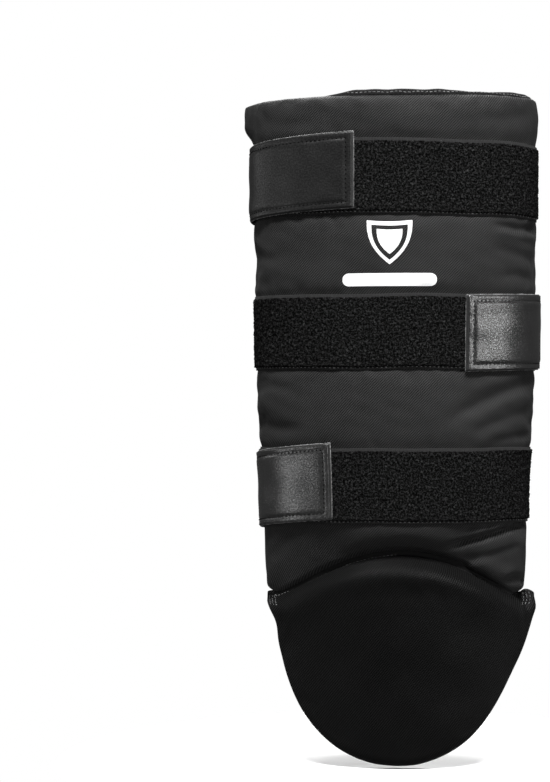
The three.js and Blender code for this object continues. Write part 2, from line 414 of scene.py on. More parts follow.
def ragged_cord(name, path, up, look, radius, seed, step=0.6 * MM):
    """An uneven fibrous tube along a path: the raw cut edge of a layer."""
    rng = np.random.default_rng(seed)
    spots, ups = resample(path, up, step)
    _, across, over = ribbon_frames(spots, ups)
    size = radius * rng.uniform(0.55, 1.45, (len(spots), TUBE_SIDES, 1))
    spread = across[:, None] * np.cos(TUBE_TURN)[:, None] + over[:, None] * np.sin(TUBE_TURN)[:, None]
    jitter = rng.normal(0, radius * 0.22, (len(spots), 1, 3))
    points = (spots[:, None] + jitter + spread * size).reshape(-1, 3)
    return build(name, points, tube_faces(0, len(spots)), [LOOKS[look]])


# ---- what each piece follows


def fit(piece, slot, *nodes):
    """Hides the CAD nodes that a piece stands for. The slot is not used."""
    if nodes:
        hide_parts(*nodes)


def fit_across_seam(piece, slot, *nodes):
    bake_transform(piece)
    fit(piece, slot, *nodes)


def fit_on(piece, body, slot, *nodes):
    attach(piece, body)
    fit(piece, slot, *nodes)


# ---- materials


def set_inputs(tree, made, inputs):
    for socket, value in inputs.items():
        if isinstance(value, bpy.types.NodeSocket):
            tree.links.new(value, made.inputs[socket])
        else:
            made.inputs[socket].default_value = value


def node(tree, kind, inputs=None, **settings):
    made = tree.nodes.new(kind)
    for key, value in settings.items():
        setattr(made, key, value)
    set_inputs(tree, made, inputs or {})
    return made


def calc(tree, operation, a, b=0.0, c=0.0, clamp=False):
    return node(tree, "ShaderNodeMath", {0: a, 1: b, 2: c}, operation=operation, use_clamp=clamp).outputs[0]


def weave_map(tree):
    return node(tree, "ShaderNodeUVMap", uv_map="weave").outputs["UV"]


def body_map(tree):
    return node(tree, "ShaderNodeTexCoord").outputs["Object"]


def new_material(name, place=weave_map):
    """A material, its node tree, and the coordinates that its maps lie on."""
    material = bpy.data.materials.new(name)
    material.use_nodes = True
    return material, material.node_tree, place(material.node_tree)


def noise_at(tree, vector, size, detail=2.0, rough=0.6):
    """Noise from 0 to 1 with features about size metres across."""
    inputs = {"Vector": vector, "Scale": 1 / size, "Detail": detail, "Roughness": rough}
    return node(tree, "ShaderNodeTexNoise", inputs).outputs["Fac"]


def threads(tree, vector, period, slant):
    """Ridges of that period whose lines rise at that angle from the horizontal, from 0 to 1."""
    across = (-math.sin(slant) / period * 2 * math.pi, math.cos(slant) / period * 2 * math.pi, 0)
    phase = node(tree, "ShaderNodeVectorMath", {0: vector, 1: across}, operation="DOT_PRODUCT")
    wave = calc(tree, "SINE", phase.outputs["Value"])
    return calc(tree, "MULTIPLY_ADD", wave, 0.5, 0.5)


def blend_sum(tree, terms, base=1.0):
    """base plus the sum of weight * (value - 0.5)."""
    total = base - sum(weight * 0.5 for _, weight in terms)
    for value, weight in terms:
        total = calc(tree, "MULTIPLY_ADD", value, weight, total)
    return total


def finish_material(tree, shade, grey, roughness, height, depth, specular, sheen=0.0):
    """Links the shader: its colour is that grey times the shade, and the height gives its relief."""
    value = calc(tree, "MULTIPLY", shade, grey)
    colour = node(tree, "ShaderNodeCombineColor", {0: value, 1: value, 2: value}).outputs[0]
    relief = node(tree, "ShaderNodeBump", {"Height": height, "Strength": 1.0, "Distance": depth}).outputs[0]
    inputs = {
        "Base Color": colour,
        "Roughness": roughness,
        "Specular IOR Level": specular,
        "Normal": relief,
        "Sheen Weight": sheen,
        "Sheen Roughness": 0.45,
    }
    set_inputs(tree, tree.nodes["Principled BSDF"], inputs)


def dimples(tree, vector, wide, tall):
    return calc(tree, "MULTIPLY", threads(tree, vector, wide, 90 * DEG), threads(tree, vector, tall, 0.0))


def cloth(name, grey, fields, rough, depth, specular, sheen):
    """A cloth from ridges and noises, each with its sizes and its weights in the shade and in the height."""
    material, tree, uv = new_material(name)
    maps = [(kind(tree, uv, *sizes), tone, rise) for kind, sizes, tone, rise in fields]
    shade = blend_sum(tree, [(value, tone) for value, tone, _ in maps])
    height = blend_sum(tree, [(value, rise) for value, _, rise in maps if rise])
    finish_material(tree, shade, grey, rough, height, depth, specular, sheen)
    return material


def tape(name, grey, period=0.9 * MM):
    """Narrow woven tape with fine ribs across it."""
    fields = (
        (threads, (period, 90 * DEG), 0.5, 1.0),
        (noise_at, (0.6 * MM, 3), 0.8, 0.6),
        (noise_at, (9 * MM,), 0.5, 0),
    )
    return cloth(name, grey, fields, rough=0.8, depth=0.15 * MM, specular=0.12, sheen=0.02)


def elastic(name, grey):
    """Ribbed elastic: raised cords along it, crossed by fine yarns."""
    fields = (
        (threads, (ELASTIC_RIB, 0.0), 0.6, 1.0),
        (threads, (0.8 * MM, 90 * DEG), 0.3, 0.25),
        (noise_at, (0.8 * MM, 3), 0.6, 0.3),
        (noise_at, (25 * MM,), 0.3, 0),
    )
    return cloth(name, grey, fields, rough=0.75, depth=0.35 * MM, specular=0.3, sheen=0.08)


def knit(name, grey):
    """Brushed knit lining: rows of small loops under a soft nap."""
    fields = (
        (dimples, (1.5 * MM, 1.1 * MM), 0.5, 1.0),
        (noise_at, (1.0 * MM, 4, 0.75), 0.9, 0.9),
        (noise_at, (30 * MM, 3), 0.5, 0),
    )
    return cloth(name, grey, fields, rough=0.95, depth=0.3 * MM, specular=0.15, sheen=0.2)


def twill(name, grey, period, contrast, rough, slant, specular, depth):
    """Diagonal weave with uneven yarns, faint cloudy wear and a few pale specks of lint."""
    material, tree, uv = new_material(name)
    diagonal = threads(tree, uv, period, slant)
    cross = threads(tree, uv, period * 0.8, slant - 70 * DEG)
    yarn = noise_at(tree, uv, 0.7 * MM, detail=3)
    cloud = noise_at(tree, uv, 28 * MM, detail=3)
    lint = calc(tree, "GREATER_THAN", noise_at(tree, uv, 1.1 * MM, detail=1), 0.745)
    weave = [(diagonal, contrast), (cross, contrast * 0.35), (yarn, contrast), (cloud, 0.45)]
    shade = calc(tree, "MAXIMUM", blend_sum(tree, weave), 0.05)
    shade = calc(tree, "MULTIPLY_ADD", lint, 0.9, shade)
    height = blend_sum(tree, [(diagonal, 1.0), (cross, 0.3), (yarn, 0.5)])
    rough = calc(tree, "MULTIPLY_ADD", cloud, 0.2, rough - 0.1)
    finish_material(tree, shade, grey, rough, height, depth, specular, sheen=0.02)
    return material


def pile(name, grey):
    """Loop pile: painted shade darkens the hollows between the loops, with scattered paler loops."""
    material, tree, uv = new_material(name)
    loops = noise_at(tree, uv, 1.15 * MM, detail=3, rough=0.75)
    specks = noise_at(tree, uv, 1.7 * MM, detail=4, rough=0.85)
    cloud = noise_at(tree, uv, 20 * MM)
    # painted shade: the colour is darkest where the loops' relief is lowest, in the hollows
    painted_hollow_shade = calc(tree, "MULTIPLY_ADD", loops, 9.0, -4.5, clamp=True)
    bright = calc(tree, "MULTIPLY_ADD", specks, 14.0, -7.6, clamp=True)
    shade = calc(tree, "MULTIPLY_ADD", painted_hollow_shade, 1.1, calc(tree, "MULTIPLY_ADD", bright, 1.6, 0.03))
    shade = calc(tree, "MULTIPLY", shade, blend_sum(tree, [(cloud, 0.6)]))
    finish_material(tree, shade, grey, 0.95, loops, 0.5 * MM, specular=0.04)
    return material


def leather(name, grey, gloss):
    """Coated leather: fine pebbled grain that glitters where light strikes it, with painted glints as pale
    specks in its colour, duller in the creases.
    """
    material, tree, uv = new_material(name)
    cells = {"Vector": uv, "Scale": 1 / (1.1 * MM)}
    cells = node(tree, "ShaderNodeTexVoronoi", cells, feature="SMOOTH_F1").outputs["Distance"]
    grain = noise_at(tree, uv, 0.8 * MM, detail=3, rough=0.7)
    scuff = noise_at(tree, uv, 14 * MM, detail=4, rough=0.65)
    # painted glints: pale specks on the grain's peaks, stronger on glossier leather, added to the colour
    painted_glint_specks = calc(tree, "MULTIPLY_ADD", grain, 6.0, -3.1, clamp=True)
    height = calc(tree, "MULTIPLY_ADD", cells, 0.7, calc(tree, "MULTIPLY", grain, 0.9))
    shade = blend_sum(tree, [(grain, gloss), (scuff, 0.6)])
    shade = calc(tree, "MULTIPLY_ADD", painted_glint_specks, 1.2 * gloss, shade)
    rough = calc(tree, "MULTIPLY_ADD", scuff, 0.16, 0.22 + 0.24 * (1 - gloss))
    glint = calc(tree, "MULTIPLY_ADD", noise_at(tree, uv, 1.1 * MM), 5.0, -2.1, clamp=True)
    shine = 0.2 + 0.4 * gloss
    shine = calc(tree, "MULTIPLY_ADD", glint, 0.8 * shine, 0.85 * shine)
    finish_material(tree, shade, grey, rough, height, 0.09 * MM + 0.06 * MM * gloss, shine)
    return material


def fibre(name, grey, size=0.5 * MM, spread=1.2):
    """Raw edges and sewing thread."""
    material, tree, place = new_material(name, body_map)
    fleck = noise_at(tree, place, size)
    patch = noise_at(tree, place, size * 9)
    shade = calc(tree, "MAXIMUM", blend_sum(tree, [(fleck, spread), (patch, spread)]), 0.1)
    finish_material(tree, shade, grey, 0.85, fleck, 0.12 * MM, specular=0.1)
    return material


def ink(name):
    """White printed ink, slightly worn, with the cloth's weave showing through."""
    material, tree, uv = new_material(name)
    diagonal = threads(tree, uv, 1.5 * MM, 58 * DEG)
    wear = noise_at(tree, uv, 3 * MM, detail=4)
    shade = blend_sum(tree, [(diagonal, 0.05), (wear, 0.08)], base=0.92)
    finish_material(tree, shade, 1.0, 0.6, diagonal, 0.05 * MM, specular=0.3)
    return material


def seen_or(tree, unseen):
    """1 where the camera looks, and that much for the light that a surface or the world sends out."""
    seen = node(tree, "ShaderNodeLightPath").outputs["Is Camera Ray"]
    return calc(tree, "MULTIPLY_ADD", seen, 1 - unseen, unseen)


FLOOR_BOUNCE = 0.2  # the floor is seen pale but throws only that share of its light back up


def floor_material(name):
    """Matt pale board with a barely visible mottle."""
    material, tree, place = new_material(name, body_map)
    mottle = noise_at(tree, place, 0.25, detail=4)
    shade = blend_sum(tree, [(mottle, 0.02)], base=0.92)
    finish_material(tree, shade, seen_or(tree, FLOOR_BOUNCE), 0.9, mottle, 0.05 * MM, specular=0.1)
    return material


LOOKS = {
    "twill": twill("cover_twill", 0.021, 1.3 * MM, 1.45, 0.6, 48 * DEG, specular=0.1, depth=0.17 * MM),
    "flap": twill("flap_twill", 0.0043, 1.35 * MM, 1.5, 0.41, 52 * DEG, specular=0.05, depth=0.2 * MM),
    "pile": pile("loop_pile", 0.0185),
    "selvedge": tape("band_selvedge", 0.017),
    "tape": tape("edge_tape", 0.007),
    "lining": knit("knit_lining", 0.018),
    "elastic": elastic("ribbed_elastic", 0.020),
    "hook": tape("hook_patch", 0.012, period=1.6 * MM),
    "backing": leather("tab_backing_leather", 0.02, 0.3),
    "raw_edge": fibre("raw_edge_fibre", 0.22, size=0.9 * MM, spread=3.4),
    "rim": fibre("cut_leather_rim", 0.05, spread=1.6),
    "dark_thread": fibre("dark_thread", 0.005),
    "grey_thread": fibre("grey_thread", 0.18, spread=2.2),
    "ink": ink("white_ink"),
}


# ---- camera, light and floor

CAMERA_PLACE = (0, -1.42, 123.6 * MM)
CAMERA_LENS = 95.8
CAMERA_TILT = 0.55 * DEG
CAMERA_TURN = 3.3 * DEG  # aimed a little to one side of the guard, so that it stands off centre
WORLD_LIGHT = 0.1  # the backdrop is seen white but lights the guard less than that
FLOOR_RADIUS = 0.23
FLOOR_DROP = 2.5 * MM  # below the flap's tip
FLOOR_CORNERS = 96
SOFTBOXES = (  # name, place, aim, size and power
    ("key_above", (0.12, -1.15, 2.1), (0, 0, 0.12), (1.0, 0.5), 112),
    ("side_right", (1.35, -1.1, 0.35), (0, 0, 0.12), (0.7, 0.45), 10),
    ("side_left", (-1.45, -0.66, 0.05), (0, 0, 0.07), (0.12, 0.3), 2.9),
    ("side_left_high", (-1.45, 0.3, 0.46), (0, 0, 0.27), (0.16, 0.2), 1.5),
    ("floor_light", (-0.2, 1.1, 1.6), (-0.1, 0.1, FLAP_TIP), (1.0, 1.0), 55),
)


def place_camera():
    camera = bpy.data.cameras.new("camera")
    camera.lens = CAMERA_LENS
    camera.sensor_width = 36
    holder = bpy.data.objects.new("camera", camera)
    holder.location = CAMERA_PLACE
    holder.rotation_euler = (90 * DEG + CAMERA_TILT, 0, CAMERA_TURN)
    bpy.context.scene.collection.objects.link(holder)
    bpy.context.scene.camera = holder


def softbox(name, place, aim, size, power):
    light = bpy.data.lights.new(name, "AREA")
    light.shape = "RECTANGLE"
    light.size, light.size_y = size
    light.energy = power
    holder = bpy.data.objects.new(name, light)
    holder.location = place
    holder.rotation_euler = (Vector(aim) - Vector(place)).to_track_quat("-Z", "Y").to_euler()
    bpy.context.scene.collection.objects.link(holder)


def place_studio():
    world = bpy.data.worlds.new("white_studio")
    world.use_nodes = True
    tree = world.node_tree
    inputs = {"Color": (1, 1, 1, 1), "Strength": seen_or(tree, WORLD_LIGHT)}
    set_inputs(tree, tree.nodes["Background"], inputs)
    bpy.context.scene.world = world
    bpy.context.scene.view_settings.view_transform = "Standard"
    for box in SOFTBOXES:
        softbox(*box)
    turn = np.linspace(0, 2 * np.pi, FLOOR_CORNERS, endpoint=False)
    level = 0 * turn + FLAP_TIP - FLOOR_DROP
    points = stack(FLOOR_RADIUS * np.cos(turn), FLOOR_RADIUS * np.sin(turn), level)
    build("floor", points, [list(range(FLOOR_CORNERS))], [floor_material("pale_floor")])


# ---- shin pad

COVER_SECTIONS = (49 * MM, 99 * MM, 151 * MM, 201 * MM, 253 * MM, 303 * MM, PAD_TOP)
COVER_ROWS = (17, 11, 15, 11, 15, 11, 10)  # the odd ones in this order lie under a band
COVER_STEP = 3.4 * MM
COVER_CLOTH = {"pressure": 3.0, "growth": 0.03, "most": 1.3 * MM}
COVER_EDGE_RADIUS = 7 * MM
COVER_TOP_RADIUS = 2.2 * MM
NOTCH_HEIGHT = 2.6 * MM  # of the sharp bottom of the valley above the seam
BAND_EASE = 3 * MM  # how far the cloth takes to loosen, on each side of the bottom band's lower edge
FLAT_PUFF = 0.25  # the share of the cloth's puff kept below the bottom band, where the cover is drawn flat
VALLEY_GAP = 0.4 * MM  # from the middle of the seam to each of the two covers that meet there
LINING_SEWN = 6 * MM  # from a lining's edge to its row of stitches
LINING_DEPTH = 1.4 * MM  # of a lining, in from the inner face of its pad


def pad_top(angle):
    """The pad's top edge stands a little higher on one side."""
    return PAD_TOP + 0.7 * MM * smooth(np.sin(angle), 0.1, 0.6)


def pad_angle(co):
    """The angle round the leg of points near the pad's outer face."""
    return np.arctan2(co[:, 0] / half_width(co[:, 2]), -co[:, 1] / half_depth(co[:, 2]))


def flare(co):
    """The rear corner of the pad's top edge opens outwards on one side."""
    share = smooth(-pad_angle(co), 78 * DEG, 118 * DEG) * smooth(co[:, 2], 301 * MM, 320 * MM)
    moved = co.copy()
    moved[:, 0] -= 15 * MM * share
    return moved


def flare_piece(piece):
    set_coordinates(piece, flare(coordinates(piece)))


def cover_grid():
    """Angles, heights and the marks of the cloth between bands, on the pad's own grid."""
    angles = even_angles(-PAD_END, PAD_END, COVER_STEP)
    heights, free = [], []
    low = seam_line(angles) + VALLEY_GAP
    last = len(COVER_ROWS) - 1
    for i, (top, count) in enumerate(zip(COVER_SECTIONS, COVER_ROWS)):
        share = (np.arange(count) / count)[:, None]
        if i == 0:
            share = share**1.35
        if i == last:
            share = 1 - (1 - share) ** 1.5
            top = pad_top(angles)
        heights.append(low[None] + (top - low[None]) * share)
        free += [(i % 2 == 0) and (k > 0) for k in range(count)]
        low = top + 0 * angles
    heights.append(low[None])
    free.append(False)
    return angles, np.concatenate(heights), np.array(free)


def crown_share(angle):
    """1 over the middle of the arched seam, falling to 0 towards its ends."""
    return smooth(np.cos(angle - SEAM_LEAN), 0.2, 0.9)


def seam_depth(angle):
    """How deep the seam lies under the pad's outer face."""
    return pad_thickness(angle) / 2 + 5 * MM * crown_share(angle)


def swell_between_bands(z):
    """How far the padding pushes the cover out between two rows of stitching."""
    total = np.zeros_like(z)
    for low, high in zip(COVER_SECTIONS[1:-1:2], COVER_SECTIONS[2::2]):
        total += np.sin(np.pi * np.clip((z - low) / (high - low), 0, 1)) ** 0.7 * 0.7 * MM
    return total


def path_distance(path, s, z):
    """Distance from each (s, z) to a bent line, and how far along it the nearest point is, from 0 to 1."""
    best = np.full(s.shape, 1e9)
    along = np.zeros(s.shape)
    lengths = np.linalg.norm(np.diff(path, axis=0), axis=1)
    done = 0.0
    for i, length in enumerate(lengths):
        step = path[i + 1] - path[i]
        t = np.clip(((s - path[i, 0]) * step[0] + (z - path[i, 1]) * step[1]) / length**2, 0, 1)
        away = np.hypot(s - path[i, 0] - t * step[0], z - path[i, 1] - t * step[1])
        nearer = away < best
        best = np.where(nearer, away, best)
        along = np.where(nearer, (done + t * length) / lengths.sum(), along)
        done += length
    return best, along


FOLD_STRENGTH = 1.35
# Each fold: its points as (distance across the front, height), its depth (negative for a ridge) and its half
# width, all in mm
COVER_FOLDS = (
    (((94, 50), (80, 46.5), (62, 40), (46, 35), (30, 33)), 3.4, 2.6),
    (((91, 53), (74, 48), (54, 41), (38, 37)), -0.5, 2.4),
    (((88, 38), (72, 31), (58, 27)), -0.8, 5.0),
    (((84, 34), (72, 29), (60, 25), (48, 26)), 1.1, 3.4),
    (((70, 49), (58, 46.5), (44, 43)), 0.9, 1.4),
    (((93, 146), (76, 138), (58, 130), (42, 122.5), (26, 113)), 1.2, 4.8),
    (((93, 150), (72, 145), (54, 139), (38, 132)), -0.5, 4.2),
    (((92, 125), (76, 120), (60, 114), (44, 106)), 0.9, 4.2),
    (((90, 108), (74, 105.5), (58, 102)), 0.7, 3.0),
    (((88, 135), (72, 130), (56, 123)), -0.4, 3.6),
    (((94, 246), (80, 245), (60, 247.5)), 1.7, 2.6),
    (((93, 240), (78, 240), (62, 243)), -0.7, 2.4),
    (((92, 224), (76, 229), (58, 232)), 0.8, 3.4),
    (((92, 212), (80, 214), (66, 213)), 0.7, 3.0),
    (((-60, 49), (-74, 38), (-86, 20)), 0.9, 4.5),
    (((-93, 118), (-76, 112), (-58, 111)), 0.9, 4.0),
    (((-93, 138), (-80, 140), (-60, 138)), 0.7, 3.5),
    (((-94, 230), (-82, 226), (-64, 228)), 0.7, 4.0),
    (((-90, 318), (-70, 314), (-46, 316)), 0.5, 4.0),
    (((90, 322), (66, 317), (44, 318)), 0.5, 4.0),
    (((60, 24), (74, 17), (85, 12)), -1.2, 5.0),
    (((95, 8), (86, 10), (78, 12)), 1.8, 3.0),
)


def fold_depth(s, z):
    total = np.zeros_like(s)
    for path, depth, width in COVER_FOLDS:
        x, height = np.array(path).T * MM
        front = arc_of(np.arcsin(np.clip(x / half_width(height), -1, 1)))
        away, along = path_distance(stack(front, height), s, z)
        fade = smooth(along, 1.0, 0.72) * smooth(along, -0.02, 0.12)
        total += FOLD_STRENGTH * depth * MM * ridge(away, width * MM) * fade
    return total


def band_puckers(s, z):
    """Small gathers that run out from the stitching of each band."""
    total = np.zeros_like(s)
    for i, middle in enumerate(BANDS.values()):
        for end in (-1, 1):
            away = (z - middle) * end - BAND_HALF
            wave = ripple(11 * MM, 90 + 2 * i + end, s) + 0.6 * ripple(27 * MM, 110 + 2 * i + end, s)
            total += 0.22 * MM * wave * ridge(away - 2 * MM, 6 * MM) * (away > -1 * MM)
    return total


def make_shin_cover():
    angles, z, free_rows = cover_grid()
    s = arc_of(angles)[None] + 0 * z
    angle = angles[None] + 0 * z
    low = seam_line(angle) + VALLEY_GAP
    side = arc_of(PAD_END) - np.abs(s)
    valley = 4 * MM + (COVER_SECTIONS[0] - BAND_EASE - low) * smooth(np.cos(angle), 0.15, 0.6)
    hollow = 1.15 + 1.2 * smooth(np.cos(angle - SEAM_LEAN), 0.86, 0.985)
    sink = (1 - np.clip((z - low) / valley, 0, 1)) ** hollow
    notch = (1 - np.clip((z - low) / NOTCH_HEIGHT, 0, 1)) ** 1.2
    drop = seam_depth(angle) * (0.74 * sink + 0.26 * notch)
    crest = rounded(pad_top(angle) - z + 0.2 * MM, COVER_TOP_RADIUS)
    edge = rounded(side, COVER_EDGE_RADIUS) * (1 - (1 - crest) * (0.3 + 0.7 * np.cos(angle) ** 2))
    half = pad_thickness(angle) / 2
    swell = swell_between_bands(z) * smooth(side, 0, 25 * MM)
    outer = around_leg(angle, z, -half * (1 - edge) - drop * edge + swell)
    sunk = (seam_depth(angle) - half) * sink
    inner = around_leg(angle, z, -half - (half - 1.2 * MM) * edge * (1 - sink) - sunk)
    pinned = np.ones(z.shape, bool)
    pinned[free_rows, 2:-2] = False
    pinned[0] = True
    loose = smooth(z, COVER_SECTIONS[0] - BAND_EASE, COVER_SECTIONS[0] + BAND_EASE)
    loose = FLAT_PUFF + (1 - FLAT_PUFF) * loose
    outer += (inflate(outer, pinned, **COVER_CLOTH) - outer) * loose[..., None]
    cover = pad_of("shin_cover_padded", outer, inner, stack(s, z), LOOKS["twill"])
    subdivide(cover)
    co = coordinates(cover)
    angle, z = pad_angle(co), co[:, 2]
    s = arc_of(angle)
    facing_out = smooth(np.einsum("ij,ij->i", normals(cover), outward(angle, z)), -0.2, 0.4)
    between = smooth(swell_between_bands(z), 0, 0.5 * MM)
    soft = ripple(34 * MM, 5, s, z) * 0.30 * MM + ripple(13 * MM, 6, s, z) * 0.10 * MM
    shift = (-fold_depth(s, z) - band_puckers(s, z) + soft * between) * facing_out
    set_coordinates(cover, flare(co + normals(cover) * shift[:, None]))
    fit_across_seam(cover, "twill", "shin_cover", "shin_foam")
    return cover


def make_shin_lining():
    edge = PAD_END - 3.0 * DEG
    angle, share = grid(even_angles(-edge, edge, 5 * MM), np.linspace(0, 1, 60))
    top = PAD_TOP - 4 * MM
    low = seam_line(angle) + 5 * MM
    z = low + (top - low) * share
    s = arc_of(angle)
    distance = np.minimum(np.minimum(arc_of(edge) - np.abs(s), z - low), top - z)
    full = rounded(distance, 3 * MM)
    groove = ridge(distance - LINING_SEWN, 1.1 * MM) * 0.7 * MM
    wave = ripple(26 * MM, 21, s, z * 0.5) * 0.35 * MM
    puff = 0.9 * MM * smooth(distance, LINING_SEWN, 26 * MM)
    depth = pad_thickness(angle) - LINING_DEPTH
    uneven = wave * smooth(distance, 0, 12 * MM)
    inner = around_leg(angle, z, -depth - 1.3 * MM * full - puff + groove + uneven)
    outer = around_leg(angle, z, -depth + 0.9 * MM * full)
    lining = pad_of("shin_lining_knit", outer, inner, stack(s, z), LOOKS["lining"])
    flare_piece(lining)
    fit_across_seam(lining, "lining", "shin_lining")


FACING_END = 117 * DEG
FACING_DEPTH = 3.5 * MM


def facing_height(angle):
    """How far the top strip stands above the cover's edge: hidden on one side, proud on the other."""
    x = 95 * MM * np.sin(angle)
    shown = smooth(x, -52 * MM, -24 * MM)
    return (-1.0 + 4.2 * shown * (1 - ridge(x - 56 * MM, 16 * MM) * 0.42)) * MM


def make_top_facing():
    angle, across = grid(even_angles(-FACING_END, FACING_END, 3 * MM), np.linspace(0, 1, 15))
    wave = ripple(18 * MM, 31, arc_of(angle), across * MM)
    near, far = COVER_TOP_RADIUS, pad_thickness(angle) + 0.5 * MM
    crown = rounded(np.minimum(across, 1 - across) * (far - near), 2.6 * MM)
    height = facing_height(angle) * (1 - across) + 1.5 * MM * across + 0.25 * MM * wave
    low = pad_top(angle) - FACING_DEPTH
    outer = around_leg(angle, low + (FACING_DEPTH + height) * crown, -(near + (far - near) * across))
    inner = around_leg(angle, low - 1.0 * MM, -(near + (far - near) * (0.08 + 0.84 * across)))
    uv = stack(arc_of(angle), across * 20 * MM)
    facing = slab_of("top_facing_tape", outer, inner, uv, [LOOKS["tape"]])
    flare_piece(facing)
    fit_on(facing, "root", "tape", "top_facing")
    line = even_angles(-20 * DEG, 112 * DEG, 3 * MM)
    wobble = ripple(14 * MM, 33, arc_of(line)) * 0.35 * MM
    path = around_leg(line, pad_top(line) + 0.7 * MM + wobble, -1.7 * MM)
    row = stitches("top_facing_stitches", [(path, outward(line, PAD_TOP))], "grey_thread", seed=3)
    fit_on(row, "root", "tape")


BINDING_BULGE = 1.9 * MM
BINDING_REACH = 3.2 * MM  # how far the tape covers the pad on each side
BINDING_THICKNESS = 0.7 * MM
EDGE_TURN = 0.95 * DEG / MM  # of angle for each metre round the pad's edge


def make_binding(side, name):
    """The tape folded over one rear edge, from the cover round to the lining."""
    t, z = grid(np.linspace(0, 1, 13), np.linspace(1.5 * MM, PAD_TOP - 0.5 * MM, 84))
    thick = float(pad_thickness(PAD_END))
    middle = -thick / 2
    round_edge = np.sin(t * np.pi)
    past = round_edge * BINDING_BULGE - BINDING_REACH * (1 - round_edge)
    out = middle + (thick / 2 + 0.45 * MM) * np.cos(t * np.pi)
    out = out + 0.12 * MM * ripple(16 * MM, 40 + side, z, 0 * z)
    layers = []
    for way, depth in ((past, out), (past - BINDING_THICKNESS, middle + (out - middle) * 0.86)):
        layers.append(around_leg(side * (PAD_END + 0.4 * DEG + way * EDGE_TURN), z, depth))
    layers.append(stack(t * 22 * MM, z))
    if side < 0:
        layers = [layer[:, ::-1] for layer in layers]
    binding = slab_of(f"edge_binding_{name}_tape", *layers, [LOOKS["tape"]])
    flare_piece(binding)
    fit_across_seam(binding, "tape", f"edge_binding_{name}")
    height = np.linspace(4 * MM, PAD_TOP - 4 * MM, 120)
    line = leg_line(0 * height + side * (PAD_END - 1.6 * DEG), height, 0.42 * MM)
    row = stitches(f"edge_binding_{name}_stitches", [line], "dark_thread", seed=8 + side)
    flare_piece(row)
    fit_across_seam(row, "tape")


# ---- loop bands

SELVEDGE = 1.6 * MM
PILE_STEP = 0.8 * MM
BAND_LEAN = {"top": 1.1 * MM}  # how much lower a band lies at one side than in front


def make_loop_band(name, middle, seed):
    inside = np.arange(-BAND_HALF + SELVEDGE, BAND_HALF - SELVEDGE + 1e-6, PILE_STEP)
    rim = np.array([BAND_HALF, BAND_HALF - 0.9 * MM])
    offsets = np.concatenate([-rim, inside, rim[::-1]])
    angle, v = grid(even_angles(-BAND_END, BAND_END, PILE_STEP), offsets)
    s = arc_of(angle)
    lean = BAND_LEAN.get(name, 0)
    rng = np.random.default_rng(seed)
    wander = ripple(60 * MM, seed, s[:1], 0 * s[:1]) * 0.35 * MM
    z = middle + v * (1 + 0.004 * wander / MM) + wander - lean * np.sin(angle)
    piled = np.abs(v) < BAND_HALF - SELVEDGE - 0.2 * MM
    tuft = rng.random(v.shape) ** 1.6 * 0.75 * MM
    raised = 0.75 * MM + tuft + ripple(5 * MM, seed + 1, s, v) * 0.12 * MM
    out = 0.95 * MM + np.where(piled, raised, 0.12 * MM * (np.abs(v) > BAND_HALF - 0.5 * MM))
    jitter = np.where(piled, 0.3 * MM, 0.0)
    s_moved = s + jitter * rng.uniform(-1, 1, v.shape)
    z_moved = z + jitter * rng.uniform(-1, 1, v.shape)
    outer = around_leg(angle_at(s_moved), z_moved, out)
    inner = around_leg(angle, z, 0.1 * MM)
    zones = np.ones((v.shape[0] - 1, v.shape[1] - 1), int)
    zones[[0, 1, -2, -1]] = 0
    uv = stack(s, v + middle)
    looks = [LOOKS["selvedge"], LOOKS["pile"]]
    band = slab_of(f"{name}_loop_band_pile", outer, inner, uv, looks, zones.ravel())
    fit_on(band, "root", "loop_pile", f"{name}_loop_band")
    line = even_angles(-BAND_END + 1 * DEG, BAND_END - 1 * DEG, 3 * MM)
    drift = np.interp(arc_of(line), s[0], wander[0]) - lean * np.sin(line)
    inset = BAND_HALF - 1.45 * MM
    rows = [leg_line(line, middle + end * inset + drift, 1.0 * MM) for end in (-1, 1)]
    row = stitches(f"{name}_loop_band_stitches", rows, "grey_thread", 1.3 * MM, 1.6 * MM, 0.2 * MM, seed)
    fit_on(row, "root", "tape")


# ---- straps

FACE_OUT = (4.1 * MM, 3.45 * MM)  # the outer and inner side of each layer of a tab, out from the pad
BACKING_OUT = (3.3 * MM, 2.6 * MM)
HOOKS_OUT = (2.5 * MM, 2.0 * MM)
STRIP_OUT = (4.85 * MM, 4.55 * MM)
STRIP_STITCH_OUT = 5.4 * MM
STITCH_OUT = 3.85 * MM
TAB_STITCH = (1.5 * MM, 1.5 * MM, 0.42 * MM)  # length, gap and radius
FRINGE_OUT = 2.95 * MM
ELASTIC_HALF = 24 * MM
ELASTIC_WEB = 0.62 * MM  # half of its thickness
SEWN_HALF = 25 * MM
STRIP_HALF = TAB_HALF - 0.3 * MM


def climb(strap, angle):
    """How far a tab has risen at an angle on its way to the free end."""
    return strap.rise * ((TAB_START - np.abs(angle)) / (TAB_START - strap.free))


def free_angle(strap, setback):
    return strap.free + setback / (half_width(strap.rear) * math.cos(strap.free))


def tab_grid(strap, setback, half_height, start=TAB_START, step=1.4 * MM):
    """Angle, height across the strap, distance to the free end, and height of a tab layer's grid."""
    free = free_angle(strap, setback)
    angles = even_angles(free, start, step)
    if strap.side < 0:
        angles = -angles[::-1]
    v = np.linspace(-half_height, half_height, int(round(2 * half_height / step)) + 1)
    angle, across = grid(angles, v)
    end = np.abs(arc_of(np.abs(angle)) - arc_of(free))
    return angle, across, end, strap.rear + climb(strap, angle) + across


def tab_edge_path(strap, setback, half_height, inset, out):
    """The line round a tab at a distance in from its two long edges and its free end."""
    free = free_angle(strap, setback + inset)
    angles = even_angles(TAB_START, free, 1.5 * MM)
    level = half_height - inset
    across = np.linspace(-level, level, 40)
    turn = np.concatenate([angles, np.full(38, free), angles[::-1]]) * strap.side
    v = np.concatenate([np.full(len(angles), -level), across[1:-1], np.full(len(angles), level)])
    return leg_line(turn, strap.rear + climb(strap, turn) + v, out)


